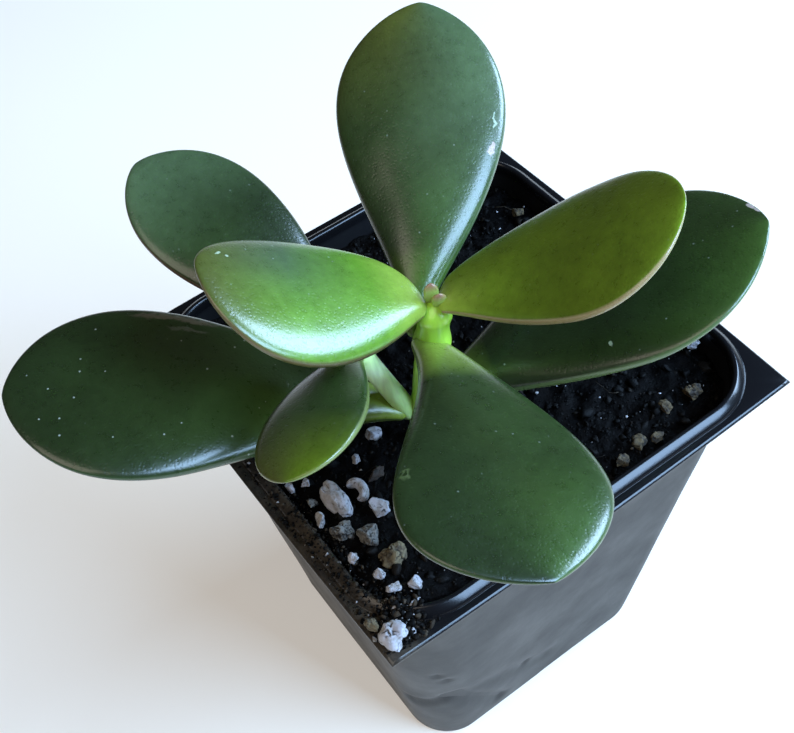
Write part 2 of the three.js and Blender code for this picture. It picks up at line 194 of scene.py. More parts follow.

# start: where the stalk begins; heading, rise: which way the leaf sets out, in degrees; bend, sweep: how
# much it turns down and sideways; roll, twist: about its own line; the rest is its size and outline.
# left and right are the halves seen from the base, each with its greens from base to tip; marks are
# healed scars, and on the lower left leaf a painted highlight: share of the length, share of the half width,
# both half sizes and colour.
leaves = {
    "lower_left_leaf": {
        "start": (-12.2, -7.8, 79.4), "heading": 152, "rise": 26, "bend": 14, "sweep": 2,
        "roll": 7, "twist": -5, "length": 59.3, "width": 29.2, "thickness": 5.2, "stalk": 2.3,
        "taper": 1.19, "fullness": 2.3, "bluntness": 0.64, "lopsided": -0.02, "cup": 0,
        "left": ("foot", "mid", "deep", "dark"), "right": ("foot", "deep", "deep", "dark"),
        "margin": "344a2c", "edge": 0.98, "specks": 0.9,
        # both marks are a painted highlight, pale streaks along the upper edge
        "marks": ((0.6, 0.88, 0.1, 0.05, "5e5a48"), (0.57, 0.72, 0.05, 0.03, "4a5040")),
    },
    "lower_right_leaf": {
        "start": (-11.7, -8.6, 78.9), "heading": -16, "rise": 26, "bend": -1, "sweep": -16,
        "roll": -2, "twist": 9, "length": 57.8, "width": 29.4, "thickness": 5.2, "stalk": 1.9,
        "taper": 1.28, "fullness": 2.2, "bluntness": 0.67, "lopsided": -0.02, "cup": 0.01,
        "left": ("foot", "dark", "dark", "deep"), "right": ("foot", "dark", "dark", "mid"),
        "margin": "54683f", "edge": 0.97, "specks": 0.45,
        "marks": ((0.975, -0.8, 0.012, 0.14, "a8988f"), (0.55, 0.72, 0.006, 0.02, "8f9a80")),
    },
    "front_leaf": {
        "start": (-9.5, -8.7, 94.9), "heading": -112, "rise": 11, "bend": -1, "sweep": 9,
        "roll": 18, "twist": -3, "length": 48, "width": 28.6, "thickness": 5.2, "stalk": 2.1,
        "taper": 1.15, "fullness": 3.8, "bluntness": 0.8, "lopsided": 0.36, "cup": 0.07,
        "left": ("foot", "deep", "deep", "mid"), "right": ("foot", "dark", "dark", "dark"),
        "margin": "3c4e28", "edge": 0.98, "specks": 0.25,
        "marks": ((0.606, 0.9, 0.018, 0.055, "4c5834"), (0.606, 0.9, 0.011, 0.034, "1c280f")),
    },
    "back_leaf": {
        "start": (-10.6, -7.7, 94.9), "heading": 49, "rise": 22, "bend": -4, "sweep": 3,
        "roll": 1, "twist": 1, "length": 53.3, "width": 25.7, "thickness": 5.0, "stalk": 1.4,
        "taper": 1.34, "fullness": 1.5, "bluntness": 0.71, "lopsided": -0.1, "cup": -0.06,
        # the right half's paler, cooler greens are a painted sheen
        "left": ("olive", "dark", "deep", "tip"), "right": ("fresh", "mid", "cool", "cool"),
        "margin": "4c6240", "edge": 0.98, "specks": 0.3,
        "marks": ((0.54, 0.9, 0.022, 0.045, "a8938a"), (0.62, 0.88, 0.02, 0.012, "9fb098")),
    },
    "upper_left_leaf": {
        "start": (-8.8, -9.3, 101.8), "heading": 165, "rise": 18, "bend": -33, "sweep": -5,
        "roll": 4, "twist": -4, "length": 35, "width": 22.6, "thickness": 4.8, "stalk": 1.7,
        "taper": 0.73, "fullness": 0.7, "bluntness": 0.55, "lopsided": -0.39, "cup": -0.02,
        "left": ("foot", "fresh", "fresh", "tip"), "right": ("foot", "fresh", "cool", "tip"),
        "margin": "645638", "edge": 0.975, "specks": 0.5,
        "marks": ((0.9, 0.6, 0.01, 0.05, "a0ac8c"), (0.86, 0.5, 0.008, 0.03, "a0ac8c")),
    },
    "upper_right_leaf": {
        "start": (-7.1, -9.8, 102.4), "heading": -47, "rise": 24, "bend": -22, "sweep": 0,
        "roll": -2, "twist": -2, "length": 38, "width": 22, "thickness": 4.2, "stalk": 2.6,
        "taper": 0.69, "fullness": 2.6, "bluntness": 0.55, "lopsided": 0.24, "cup": 0,
        "left": ("lime", "olive", "olive", "olive"), "right": ("foot", "lime", "olive", "lime"),
        # its wide yellowish edge is a painted glow of light shining through the thin margin
        "margin": "a09068", "edge": 0.962, "specks": 0.1, "marks": (),
    },
    "shoot_back_leaf": {
        "start": (-18.4, -4.0, 95.2), "heading": 104, "rise": 31, "bend": 14, "sweep": 7,
        "roll": 3, "twist": -1, "length": 41.3, "width": 20, "thickness": 4.2, "stalk": 1.6,
        "taper": 1.03, "fullness": 1.9, "bluntness": 0.65, "lopsided": 0.03, "cup": 0,
        "left": ("foot", "deep", "deep", "cool"), "right": ("fresh", "dark", "dark", "cool"),
        "margin": "4a3020", "edge": 0.975, "specks": 0.15, "marks": (),
    },
    "shoot_front_leaf": {
        "start": (-18.4, -4.8, 94.4), "heading": -140, "rise": 27, "bend": 15, "sweep": 0,
        "roll": -9, "twist": -14, "length": 30.3, "width": 14.6, "thickness": 4.0, "stalk": 1.5,
        "taper": 0.96, "fullness": 1.8, "bluntness": 0.56, "lopsided": -0.07, "cup": 0.02,
        "left": ("foot", "mid", "deep", "olive"), "right": ("fresh", "dark", "deep", "tip"),
        "margin": "76804a", "edge": 0.97, "specks": 0.15, "marks": (),
    },
    "bud_leaf_back": {
        "start": (-8.0, -9.7, 102.3), "heading": 62, "rise": 76, "bend": -8, "sweep": 0,
        "roll": 0, "twist": 0, "length": 3.2, "width": 2.1, "thickness": 1.1, "stalk": 0.8,
        "taper": 0.6, "fullness": 2, "bluntness": 0.7, "lopsided": 0, "cup": 0.1,
        "left": ("bud", "bud", "bud", "blush"), "right": ("bud", "bud", "bud", "blush"),
        "margin": "a8805c", "edge": 0.97, "specks": 0, "marks": (),
    },
    "bud_leaf_front": {
        "start": (-7.6, -10.8, 102.3), "heading": -118, "rise": 74, "bend": -8, "sweep": 0,
        "roll": 0, "twist": 0, "length": 3.0, "width": 2.1, "thickness": 1.1, "stalk": 0.8,
        "taper": 0.6, "fullness": 2, "bluntness": 0.7, "lopsided": 0, "cup": 0.1,
        "left": ("bud", "bud", "bud", "blush"), "right": ("bud", "bud", "bud", "blush"),
        "margin": "a8905c", "edge": 0.97, "specks": 0, "marks": (),
    },
}

leafBuild = {"around": 72, "along": 110, "steps": 24, "wave": 0.22, "waveSize": 9, "plumpness": 0.85,
             "marginWidth": 0.025}


def leafFrame(leaf, u):  # the middle line's point at share u, and the leaf's own directions there
    steps = leafBuild["steps"]
    point = Vector(leaf["start"])

    def aim(share):
        rise = math.radians(leaf["rise"] - leaf["bend"] * share)
        heading = math.radians(leaf["heading"] + leaf["sweep"] * share)
        level = math.cos(rise)
        forward = Vector((level * math.cos(heading), level * math.sin(heading), math.sin(rise)))
        return forward, heading

    for i in range(steps):
        point += aim(u * (i + 0.5) / steps)[0] * (u * leaf["length"] / steps)
    forward, heading = aim(u)
    side = Vector((math.sin(heading), -math.cos(heading), 0))
    side.rotate(Matrix.Rotation(-math.radians(leaf["roll"] + leaf["twist"] * u), 3, forward))
    return point, side, side.cross(forward)


def halfWidth(leaf, u, power):
    fullness, bluntness = leaf["fullness"], leaf["bluntness"]
    widest = (power / (power + fullness * bluntness)) ** (1 / fullness)
    shape = [s ** power * max(0, 1 - s ** fullness) ** bluntness for s in (u, widest)]
    blade = leaf["width"] / 2 * shape[0] / shape[1]
    neck = leaf["stalk"] * math.sqrt(max(0, 1 - 4 * u * u) * min(1, u / 0.03))
    return math.hypot(blade, neck)


def leafMesh(leaf):  # a sphere drawn out along the middle line, its poles at the base and the tip
    mesh = bmesh.new()
    bmesh.ops.create_uvsphere(mesh, u_segments=leafBuild["around"], v_segments=leafBuild["along"], radius=1)
    place = mesh.verts.layers.float_vector.new("leafPlace")
    frames = {}
    for vert in mesh.verts:
        u = min(1, max(0, (1 - vert.co.z) / 2))
        ring = math.hypot(vert.co.x, vert.co.y)
        across, lift = (vert.co.x / ring, -vert.co.y / ring) if ring > 1e-5 else (0, 1)
        if round(u, 5) not in frames:
            frames[round(u, 5)] = leafFrame(leaf, u)
        point, side, up = frames[round(u, 5)]
        lean = leaf["lopsided"] if across > 0 else -leaf["lopsided"]
        half = halfWidth(leaf, u, leaf["taper"] * (1 + lean))
        body = leaf["thickness"] / 2 * math.sqrt(max(0, math.sin(math.pi * u ** 0.8)))
        thick = min(body, halfWidth(leaf, u, leaf["taper"]))
        x = half * across
        crown = thick * math.copysign(abs(lift) ** leafBuild["plumpness"], lift)
        z = crown + leaf["cup"] * x * x / (leaf["width"] / 2)
        spot = point + side * x + up * z
        wave = noise.noise(spot / leafBuild["waveSize"]) * leafBuild["wave"] * min(1, leaf["length"] / 40)
        vert.co = (spot + up * wave) * mm
        vert[place] = (u, across, lift)
    bmesh.ops.recalc_face_normals(mesh, faces=mesh.faces)
    return mesh


def addMark(tree, skin, place, mark):  # an oval mark on the leaf: a healed scar, or on the lower left leaf a painted highlight
    u, across, long, wide, colour = mark
    shift = addNode(tree, "ShaderNodeVectorMath", {0: place, 1: (u, across, 0)}, operation="SUBTRACT")
    oval = addNode(tree, "ShaderNodeVectorMath", {0: shift.outputs[0], 1: (1 / long, 1 / wide, 0)},
                   operation="MULTIPLY")
    far = addNode(tree, "ShaderNodeVectorMath", {0: oval.outputs[0]}, operation="LENGTH")
    share = addNode(tree, "ShaderNodeMapRange",
                    {"Value": far.outputs["Value"], "From Min": 1.15, "From Max": 0.75})
    mixed = addNode(tree, "ShaderNodeMix",
                    {0: share.outputs[0], 6: skin, 7: linear(colour)}, data_type="RGBA")
    return mixed.outputs[2]


def leafSkin(name, leaf):  # fleshy leaf under a thin wax: a soft broad shine, tiny pores and a pale edge, which on the upper right leaf is a painted glow of light through the margin
    material, tree = newMaterial(name + "Skin")
    place = addNode(tree, "ShaderNodeAttribute", attribute_name="leafPlace").outputs["Vector"]
    along, across = addNode(tree, "ShaderNodeSeparateXYZ", {0: place}).outputs[:2]
    # each half's greens from base to tip; the back leaf's right half carries a painted sheen
    spots = (0.04, 0.25, 0.6, 0.95)
    halves = [addNode(tree, "ShaderNodeValToRGB", {0: along},
                      stops=[(spot, greens[green]) for spot, green in zip(spots, leaf[half])])
              for half in ("left", "right")]
    blend = addNode(tree, "ShaderNodeMapRange", {"Value": across, "From Min": -0.6, "From Max": 0.6},
                    interpolation_type="SMOOTHSTEP")
    skin = addNode(tree, "ShaderNodeMix",
                   {0: blend.outputs[0], 6: halves[0].outputs[0], 7: halves[1].outputs[0]},
                   data_type="RGBA")
    space = addNode(tree, "ShaderNodeTexCoord").outputs["Object"]
    mottle = addNode(tree, "ShaderNodeTexNoise",
                     {"Vector": space, "Scale": 1000 / 1.6, "Detail": 5, "Roughness": 0.7})
    clouds = addNode(tree, "ShaderNodeTexNoise", {"Vector": space, "Scale": 1000 / 11, "Detail": 3})
    both = addNode(tree, "ShaderNodeMath", {0: mottle.outputs[0], 1: clouds.outputs[0]}, operation="ADD")
    shade = addNode(tree, "ShaderNodeMapRange", {"Value": both.outputs[0], "From Min": 0.65, "From Max": 1.35,
                                                 "To Min": 0.72, "To Max": 1.28})
    skin = addNode(tree, "ShaderNodeVectorMath",
                   {0: skin.outputs[2], 1: shade.outputs[0]}, operation="MULTIPLY")
    side = addNode(tree, "ShaderNodeMath", {0: across}, operation="ABSOLUTE")
    # the pale edge; on the upper right leaf a painted glow of light through the margin
    margin = addNode(tree, "ShaderNodeMapRange", {"Value": side.outputs[0], "From Min": leaf["edge"],
                                                  "From Max": leaf["edge"] + leafBuild["marginWidth"]})
    skin = addNode(tree, "ShaderNodeMix",
                   {0: margin.outputs[0], 6: skin.outputs[0], 7: linear(leaf["margin"])},
                   data_type="RGBA")
    pores = addNode(tree, "ShaderNodeTexVoronoi", {"Vector": space, "Scale": 1000 / 0.55})
    pore = addNode(tree, "ShaderNodeMapRange",
                   {"Value": pores.outputs["Distance"], "From Min": 0.1, "From Max": 0.45})
    grit = addNode(tree, "ShaderNodeTexVoronoi", {"Vector": space, "Scale": 1000 / 2.3})
    speck = addNode(tree, "ShaderNodeMapRange", {"Value": grit.outputs["Distance"], "From Min": 0.08,
                                                 "From Max": 0.045, "To Max": leaf["specks"]})
    skin = addNode(tree, "ShaderNodeMix", {0: speck.outputs[0], 6: skin.outputs[2], 7: linear("9aa296")},
                   data_type="RGBA").outputs[2]
    ragged = addNode(tree, "ShaderNodeTexNoise", {"Vector": space, "Scale": 1000 / 1.2, "Detail": 4})
    ragged = addNode(tree, "ShaderNodeVectorMath", {0: ragged.outputs["Color"], 1: (0.04, 0.14, 0), 2: place},
                     operation="MULTIPLY_ADD")
    ragged = addNode(tree, "ShaderNodeVectorMath",
                     {0: ragged.outputs[0], 1: (0.02, 0.07, 0)}, operation="SUBTRACT")
    # healed scars, and on the lower left leaf a painted highlight
    for mark in leaf["marks"]:
        skin = addMark(tree, skin, ragged.outputs[0], mark)
    heights = addNode(tree, "ShaderNodeMath", {0: mottle.outputs[0], 1: pore.outputs[0]}, operation="ADD")
    bump = addNode(tree, "ShaderNodeBump",
                   {"Height": heights.outputs[0], "Strength": 0.6, "Distance": 0.03 * mm})
    gloss = addNode(tree, "ShaderNodeMapRange", {"Value": mottle.outputs[0], "To Min": 0.22, "To Max": 0.36})
    shader = addNode(tree, "ShaderNodeBsdfPrincipled", {
        "Base Color": skin, "Roughness": gloss.outputs[0], "IOR": 1.45, "Normal": bump.outputs[0],
        "Coat Weight": 0.4, "Coat Roughness": 0.18, "Coat IOR": 1.5,
        "Subsurface Weight": 0.08, "Subsurface Radius": (0.5, 1.0, 0.25), "Subsurface Scale": 1.2 * mm,
    })
    addNode(tree, "ShaderNodeOutputMaterial", {"Surface": shader.outputs["BSDF"]})
    return material


for leafName, leafShape in leaves.items():
    pieceName = leafName.replace("_", "-")
    addPiece(pieceName, leafMesh(leafShape), leafSkin(leafName, leafShape), [leafName])
print("leaves are made")

stem = {
    "foot": (-12.6, -7.8, 58), "top": (-7.9, -10.3, 102.6), "radius": 2.3,
    "nodes": (79.3, 94.6, 101.6), "swelling": 0.5, "skin": ("8cb850", "a0c844", "a6d846"),
}
shoot = {
    "foot": (-12.6, -7.7, 78.9), "top": (-18.5, -4.3, 96.2), "radius": 1.7,
    # the shoot's very pale greens are partly its own young colour, partly painted light for the light on its
    # top
    "nodes": (95.0,), "swelling": 0.3, "skin": ("c8ec94", "e0fac0", "c8ec90"),
}
stemBuild = {"around": 40, "step": 0.5, "nodeSpread": 1.3}


def ringMesh(places, count):  # rings drawn one after another, each place(step) giving its points
    mesh = bmesh.new()
    stepLayer = mesh.verts.layers.int.new("ringStep")
    share = mesh.verts.layers.float.new("ringShare")
    ring = bmesh.ops.create_circle(mesh, segments=count, radius=1, cap_ends=True)["verts"]
    edges = list(mesh.edges)
    for vert in ring:
        vert[stepLayer] = round(math.atan2(vert.co.y, vert.co.x) / math.tau * count) % count
    for i, place in enumerate(places):
        if i:
            grown = bmesh.ops.extrude_edge_only(mesh, edges=edges)["geom"]
            edges = [e for e in grown if isinstance(e, bmesh.types.BMEdge)]
            ring = [e for e in grown if isinstance(e, bmesh.types.BMVert)]
        for vert in ring:
            vert.co = place(vert[stepLayer]) * mm
            vert[share] = i / (len(places) - 1)
    bmesh.ops.holes_fill(mesh, edges=edges, sides=0)
    bmesh.ops.recalc_face_normals(mesh, faces=mesh.faces)
    return mesh


def stemRing(shape, share):  # a collar swells at each node, and the top is rounded off
    foot, top = Vector(shape["foot"]), Vector(shape["top"])
    middle = foot.lerp(top, share)
    swell = sum(shape["swelling"] * math.exp(-((middle.z - n) / stemBuild["nodeSpread"]) ** 2 / 2)
                for n in shape["nodes"])
    crown = math.sqrt(max(0.02, min(1, (top.z - middle.z) / shape["radius"])))
    radius = (shape["radius"] + swell) * crown

    def place(step):
        turn = math.tau * step / stemBuild["around"]
        out = Vector((math.cos(turn), math.sin(turn), 0))
        ridge = 1 + 0.03 * noise.noise(Vector((out.x * 2, out.y * 2, middle.z / 7)))
        return middle + out * radius * ridge

    return place


def stemMesh(shape):
    count = int((shape["top"][2] - shape["foot"][2]) / stemBuild["step"])
    return ringMesh([stemRing(shape, i / count) for i in range(count + 1)], stemBuild["around"])


def stemSkin(name, shape):  # young fleshy stem: smooth, bright and slightly streaked lengthwise; the side shoot's extra paleness is partly painted light
    material, tree = newMaterial(name + "Skin")
    place = addNode(tree, "ShaderNodeAttribute", attribute_name="ringShare")
    colour = addNode(tree, "ShaderNodeValToRGB", {0: place.outputs["Fac"]},
                     stops=list(zip((0.2, 0.7, 0.92), shape["skin"])))
    space = addNode(tree, "ShaderNodeTexCoord").outputs["Object"]
    stretched = addNode(tree, "ShaderNodeMapping", {"Vector": space, "Scale": (1, 1, 0.12)})
    streaks = addNode(tree, "ShaderNodeTexNoise",
                      {"Vector": stretched.outputs[0], "Scale": 1000 / 0.7, "Detail": 3})
    shade = addNode(tree, "ShaderNodeMapRange", {"Value": streaks.outputs[0], "To Min": 0.7, "To Max": 1.3})
    skin = addNode(tree, "ShaderNodeVectorMath",
                   {0: colour.outputs[0], 1: shade.outputs[0]}, operation="MULTIPLY")
    bump = addNode(tree, "ShaderNodeBump",
                   {"Height": streaks.outputs[0], "Strength": 0.4, "Distance": 0.04 * mm})
    shader = addNode(tree, "ShaderNodeBsdfPrincipled", {
        "Base Color": skin.outputs[0], "Roughness": 0.3, "Normal": bump.outputs[0],
        "Coat Weight": 0.5, "Coat Roughness": 0.2,
        "Subsurface Weight": 0.25, "Subsurface Radius": (0.6, 1.0, 0.3), "Subsurface Scale": 1.5 * mm,
    })
    addNode(tree, "ShaderNodeOutputMaterial", {"Surface": shader.outputs["BSDF"]})
    return material


addPiece("main-stem", stemMesh(stem), stemSkin("mainStem", stem), ["main_stem"])
addPiece("side-shoot", stemMesh(shoot), stemSkin("sideShoot", shoot), ["side_shoot"])
print("stems are made")

# bead: the roll round the mouth, outwards from the inner face and up from the flange; creases and dimples
# are dents in the front left corner: from, to, half width and depth.
pot = {
    "height": 75, "topHalf": 35.6, "bottomHalf": 26.25, "cornerRadius": 11.4, "wall": 0.8, "floor": 1.0,
    "flangeHalf": 38, "flangeBow": 0.5, "flangeThickness": 0.8,
    "bead": ((0, 0.2), (0.06, 0.8), (0.25, 1.2), (0.6, 1.42), (1.0, 1.2), (1.4, 0.9), (1.8, 0.58),
             (2.06, 0.28), (2.16, 0.03), (2.18, 0), (2.25, 0)),
    "creases": (((-28.5, -22.5, 20), (-24, -29, 27), 1.1, 0.7), ((-24, -29, 27), (-12, -27.5, 6), 1.1, 0.8),
                ((-22, -29, 26), (-1, -28, 11), 1.6, 0.35),
                ((-25, -30.2, 37.4), (-25.4, -30.2, 37.8), 0.6, 0.4),
                ((-26.9, -29.9, 41), (-26.8, -29.9, 41.4), 0.6, 0.4),
                ((-6.5, -28, 15), (-6, -28, 15.3), 0.6, 0.4)),
    "drain": {"from": -1, "to": 17, "reach": 20, "rise": 1.1, "holeRadius": 3.5},
    "cornerSteps": 20, "sideSteps": 56, "wallSteps": 84, "waver": 0.2,
    "plastic": "101012", "rimRoughness": 0.2, "dust": 0.75, "dustColour": "4c443a",
    "dustBand": (-30.5, -35.5),  # across the left side, from clean to dusty
}


def outlinePoint(step, half, radius):  # counted round a rounded square, corner by corner
    perSide = pot["cornerSteps"] + pot["sideSteps"]
    side, k = divmod(step, perSide)
    straight = half - radius
    if k < pot["cornerSteps"]:
        turn = math.pi / 2 * k / pot["cornerSteps"]
        point = Vector((straight + radius * math.cos(turn), straight + radius * math.sin(turn), 0))
    else:
        share = (k - pot["cornerSteps"]) / pot["sideSteps"]
        point = Vector((straight - 2 * straight * share, half, 0))
    point.rotate(Matrix.Rotation(side * math.pi / 2, 3, "Z"))
    return point


def flangePoint(step, inset):  # the same count round the flange's pointed, slightly bowed square
    perSide = pot["cornerSteps"] + pot["sideSteps"]
    side, k = divmod(step, perSide)
    half = pot["flangeHalf"]
    inner = pot["topHalf"] - pot["cornerRadius"]
    if k < pot["cornerSteps"] / 2:
        along = inner + (half - inner) * k / (pot["cornerSteps"] / 2)
        point = Vector((half, along, 0))
    elif k < pot["cornerSteps"]:
        along = inner + (half - inner) * (pot["cornerSteps"] - k) / (pot["cornerSteps"] / 2)
        point = Vector((along, half, 0))
    else:
        share = (k - pot["cornerSteps"]) / pot["sideSteps"]
        point = Vector((inner - 2 * inner * share, half, 0))
    sideways = min(abs(point.x), abs(point.y)) / half
    far = half + pot["flangeBow"] * (1 - sideways ** 2) - inset
    if abs(point.x) > abs(point.y):
        point.x = math.copysign(far, point.x)
        point.y *= min(1, far / half)
    else:
        point.y = math.copysign(far, point.y)
        point.x *= min(1, far / half)
    point.rotate(Matrix.Rotation(side * math.pi / 2, 3, "Z"))
    return point


def taper(z):
    return (pot["bottomHalf"] + (pot["topHalf"] - pot["bottomHalf"]) * z / pot["height"]) / pot["topHalf"]


def bell(distance, spread):
    return math.exp(-distance * distance / (2 * spread * spread))


def dented(point):  # how far the creases and dimples push the wall in at a point
    depth = 0
    for start, end, spread, push in pot["creases"]:
        a, b = Vector(start), Vector(end)
        share = min(1, max(0, (point - a).dot(b - a) / (b - a).length_squared))
        depth += push * bell((point - a.lerp(b, share)).length, spread)
    return depth


def inDrain(point):  # true under the raised stretch in the middle of each side
    drain = pot["drain"]
    for side in range(4):
        turned = point.copy()
        turned.rotate(Matrix.Rotation(-side * math.pi / 2, 3, "Z"))
        if drain["from"] < turned.x < drain["to"] and turned.y < drain["reach"] - pot["bottomHalf"] - 2:
            return True
    return False


def wallRing(inset, z, inner=False):
    half, radius = pot["topHalf"] - inset, max(0.5, pot["cornerRadius"] - inset)

    def place(step):
        point = outlinePoint(step, half, radius) * taper(z)
        point.z = z
        outward = Vector((point.x, point.y, 0)).normalized()
        firm = min(1, (pot["height"] - z) / 12) * min(1, z / 3)
        push = noise.noise(Vector((point.x, point.y, z)) / 17) * pot["waver"] * firm
        if not inset:
            push -= dented(point)
        lift = pot["drain"]["rise"]
        if inner and z < 2.4 and inDrain(point):
            point.z = max(z, pot["floor"] + lift)
        elif not inner and z < lift and inDrain(point):
            point.z = lift
        return point + outward * push

    return place


def rimRing(offset, z):  # offset outwards from the wall's inner face at the mouth
    half = pot["topHalf"] - pot["wall"] + offset
    radius = pot["cornerRadius"] - pot["wall"] + offset

    def place(step):
        point = outlinePoint(step, half, radius)
        point.z = z
        return point

    return place


def flangeRing(inset, z):
    def place(step):
        point = flangePoint(step, inset)
        point.z = z
        return point

    return place


def potRings():
    top, thick, wall = pot["height"], pot["flangeThickness"], pot["wall"]
    rings = [wallRing(k, 0) for k in (30, 26, 22, 18, 14, 10, 6, 3, 1.2)]
    rings += [wallRing(0.45, 0.12), wallRing(0.12, 0.45), wallRing(0, 1.1), wallRing(0, 1.3)]
    rings += [wallRing(0, 1.3 + (top - thick - 2.1) * (i + 1) / pot["wallSteps"])
              for i in range(pot["wallSteps"])]
    rings += [rimRing(wall + 0.25, top - thick), rimRing(wall + 1.0, top - thick)]
    edge = ((0.3, top - thick), (0.06, top - thick + 0.1), (0, top - thick + 0.25), (0, top - 0.36),
            (0.04, top - 0.3), (0.34, top - 0.03), (0.42, top))
    rings += [flangeRing(i, z) for i, z in edge]
    rings += [rimRing(offset, top + rise) for offset, rise in reversed(pot["bead"])]
    rings += [rimRing(0, top - 0.4)]
    rings += [wallRing(wall, top - 1.2 - (top - 14) * i / 24, True) for i in range(25)]
    corner = ((wall, 6), (wall, 2.3), (wall + 0.4, 1.3), (wall + 1.4, pot["floor"]))
    rings += [wallRing(k, z, True) for k, z in corner]
    rings += [wallRing(k, pot["floor"], True) for k in (6, 10, 14, 18, 22, 26, 30)]
    return rings


def cutHoles(piece):  # four round holes through the raised stretches, cut with a modifier
    drain = pot["drain"]
    mesh = bmesh.new()
    for side in range(4):
        middle = (drain["from"] + drain["to"]) / 2
        spot = Vector((middle, drain["reach"] / 2 + 2 - pot["bottomHalf"], 1.5)) * mm
        spot.rotate(Matrix.Rotation(side * math.pi / 2, 3, "Z"))
        bmesh.ops.create_cone(mesh, cap_ends=True, segments=48, radius1=drain["holeRadius"] * mm,
                              radius2=drain["holeRadius"] * mm, depth=6 * mm, matrix=Matrix.Translation(spot))
    data = bpy.data.meshes.new("drills")
    mesh.to_mesh(data)
    mesh.free()
    drills = bpy.data.objects.new("drills", data)
    scene.collection.objects.link(drills)
    cut = piece.modifiers.new("holes", "BOOLEAN")
    cut.operation, cut.solver, cut.object = "DIFFERENCE", "EXACT", drills
    holed = bpy.data.meshes.new_from_object(piece.evaluated_get(bpy.context.evaluated_depsgraph_get()))
    piece.modifiers.remove(cut)
    piece.data = holed
    bpy.data.objects.remove(drills)


def potPlastic():  # polystyrene sheet drawn over a mould: satin walls, a shinier rim, a film of dried soil
    material, tree = newMaterial("blackPolystyrene")
    space = addNode(tree, "ShaderNodeTexCoord").outputs["Object"]
    parts = addNode(tree, "ShaderNodeSeparateXYZ", {0: space})
    grain = addNode(tree, "ShaderNodeTexNoise", {"Vector": space, "Scale": 1000 / 0.5, "Detail": 3})
    patches = addNode(tree, "ShaderNodeTexNoise",
                      {"Vector": space, "Scale": 1000 / 14, "Detail": 6, "Roughness": 0.65})
    rim = addNode(tree, "ShaderNodeMapRange",
                  {"Value": parts.outputs[2], "From Min": 74 * mm, "From Max": 74.6 * mm})
    satin = addNode(tree, "ShaderNodeMapRange",
                    {"Value": patches.outputs[0], "From Min": 0.3, "From Max": 0.7,
                     "To Min": 0.4, "To Max": 0.55})
    gloss = addNode(tree, "ShaderNodeMix", {0: rim.outputs[0], 2: satin.outputs[0], 3: pot["rimRoughness"]})
    clean, dusty = pot["dustBand"]
    left = addNode(tree, "ShaderNodeMapRange",
                   {"Value": parts.outputs[0], "From Min": clean * mm, "From Max": dusty * mm})
    fine = addNode(tree, "ShaderNodeTexNoise",
                   {"Vector": space, "Scale": 1000 / 1.3, "Detail": 6, "Roughness": 0.75})
    cover = addNode(tree, "ShaderNodeMath", {0: fine.outputs[0], 1: patches.outputs[0]}, operation="MULTIPLY")
    cover = addNode(tree, "ShaderNodeMapRange", {"Value": cover.outputs[0], "From Min": 0.1, "From Max": 0.34,
                                                 "To Max": pot["dust"]})
    cover = addNode(tree, "ShaderNodeMath", {0: cover.outputs[0], 1: left.outputs[0]}, operation="MULTIPLY")
    colour = addNode(tree, "ShaderNodeMix", {0: cover.outputs[0], 6: linear(pot["plastic"]),
                                             7: linear(pot["dustColour"])}, data_type="RGBA")
    bump = addNode(tree, "ShaderNodeBump",
                   {"Height": grain.outputs[0], "Strength": 0.25, "Distance": 0.03 * mm})
    shader = addNode(tree, "ShaderNodeBsdfPrincipled", {
        "Base Color": colour.outputs[2], "Roughness": gloss.outputs[0], "IOR": 1.42,
        "Normal": bump.outputs[0],
    })
    addNode(tree, "ShaderNodeOutputMaterial", {"Surface": shader.outputs["BSDF"]})
    return material


potMesh = ringMesh(potRings(), 4 * (pot["cornerSteps"] + pot["sideSteps"]))
potPiece = addPiece("nursery-pot", potMesh, potPlastic(), ["nursery_pot"])
cutHoles(potPiece)
print("pot is made")

soil = {
    "level": 71.2, "pile": (-36, -36, 4.0, 15), "bank": (-34, 1.4, 13, 12), "collar": (-12, -8, 0.6, 9),
    "cells": 170, "bottom": 2.2, "roughness": 0.9,
    "crumbs": 1500, "grit": 4200, "fibres": 90, "rimCrumbs": 1400, "heap": 550, "heapAt": -33.2, "seed": 11,
}


def soilHeight(x, y):
    pileX, pileY, pileRise, pileSpread = soil["pile"]
    bankX, bankRise, bankSpread, bankEnds = soil["bank"]
    collarX, collarY, collarRise, collarSpread = soil["collar"]
    heap = pileRise * bell(math.hypot(x - pileX, y - pileY), pileSpread)
    lean = bankRise * bell(x - bankX, bankSpread) / (1 + math.exp((y - bankEnds) / 6))
    mound = collarRise * bell(math.hypot(x - collarX, y - collarY), collarSpread)
    return soil["level"] + heap + lean + mound


def mouthDistance(x, y, scale=1):  # how far a point lies outside the wall's inner face
    half = (pot["topHalf"] - pot["wall"]) * scale
    radius = (pot["cornerRadius"] - pot["wall"]) * scale
    dx, dy = abs(x) - half + radius, abs(y) - half + radius
    return math.hypot(max(dx, 0), max(dy, 0)) + min(max(dx, dy), 0) - radius


def roughSoil(x, y):
    lumps = noise.fractal(Vector((x, y, 0)) / 3.2, 0.9, 2.1, 5) * soil["roughness"]
    return soilHeight(x, y) + lumps


def rimHeight(x, y):  # the top of the soil, the bead or the flange, whichever is there
    out = mouthDistance(x, y)
    if out < 0:
        return roughSoil(x, y)
    for (near, nearRise), (far, farRise) in zip(pot["bead"], pot["bead"][1:]):
        if out < far:
            return pot["height"] + nearRise + (farRise - nearRise) * (out - near) / (far - near)
    return pot["height"]


def roundCorner(x, y, share):  # a point of the unit square, moved into one with round corners
    u, v = (abs(x) - 1 + share) / share, (abs(y) - 1 + share) / share
    if u <= 0 or v <= 0:
        return x, y
    x = math.copysign(1 - share + share * u * math.sqrt(1 - v * v / 2), x)
    y = math.copysign(1 - share + share * v * math.sqrt(1 - u * u / 2), y)
    return x, y


